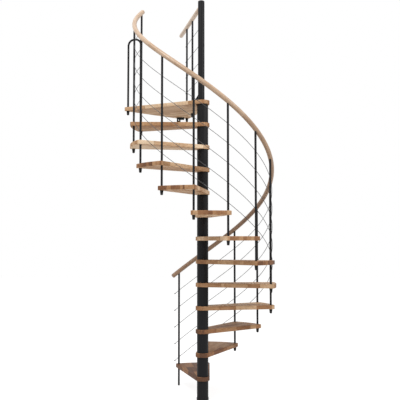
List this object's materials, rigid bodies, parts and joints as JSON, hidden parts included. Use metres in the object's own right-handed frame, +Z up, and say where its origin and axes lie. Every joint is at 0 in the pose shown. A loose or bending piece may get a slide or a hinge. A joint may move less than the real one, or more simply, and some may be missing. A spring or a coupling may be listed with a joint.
{
  "type": "spiral staircase",
  "caption": "Spiral staircase on a central steel post, with wedge-shaped beech treads, a beech landing and a guard of round bars, taut wires and a round wooden handrail.",
  "frame": {"origin": "centre of the post's base plate, on the floor", "axes": "+Z up the post; the first tread points along +Y, and the stair climbs clockwise seen from above"},
  "size_m": [1.4949, 1.6896, 3.8569],
  "materials": {
    "tread_beech": "clear satin lacquer on glued beech staves",
    "rail_beech": "clear satin lacquer on beech",
    "black_steel": "satin black powder coat",
    "black_plastic": "moulded black plastic",
    "stainless": "bright stainless wire and crimped stops"
  },
  "bodies": {
    "root": {"baluster_01": "black_steel", "baluster_02": "black_steel", "baluster_03": "black_steel", "baluster_04": "black_steel", "baluster_05": "black_steel", "baluster_06": "black_steel", "baluster_07": "black_steel", "baluster_08": "black_steel", "baluster_09": "black_steel", "baluster_10": "black_steel", "baluster_11": "black_steel", "baluster_12": "black_steel", "baluster_13": "black_steel", "baluster_feet": "black_plastic", "base_plate": "black_steel", "base_ring": "black_plastic", "centre_post": "black_steel", "column_sleeves": "black_steel", "guard_hoop": "black_steel", "handrail_1": "rail_beech", "handrail_2": "rail_beech", "handrail_3": "rail_beech", "handrail_4": "rail_beech", "landing": "tread_beech", "landing_balusters": "black_steel", "landing_bracket": "black_steel", "landing_rail": "rail_beech", "landing_wires": "stainless", "post_cap": "black_plastic", "post_gusset": "black_steel", "stair_wires": "stainless", "tread_01": "tread_beech", "tread_02": "tread_beech", "tread_03": "tread_beech", "tread_04": "tread_beech", "tread_05": "tread_beech", "tread_06": "tread_beech", "tread_07": "tread_beech", "tread_08": "tread_beech", "tread_09": "tread_beech", "tread_10": "tread_beech", "tread_11": "tread_beech", "tread_12": "tread_beech", "upper_post": "black_steel", "wire_stops": "stainless"}
  },
  "joints": []
}
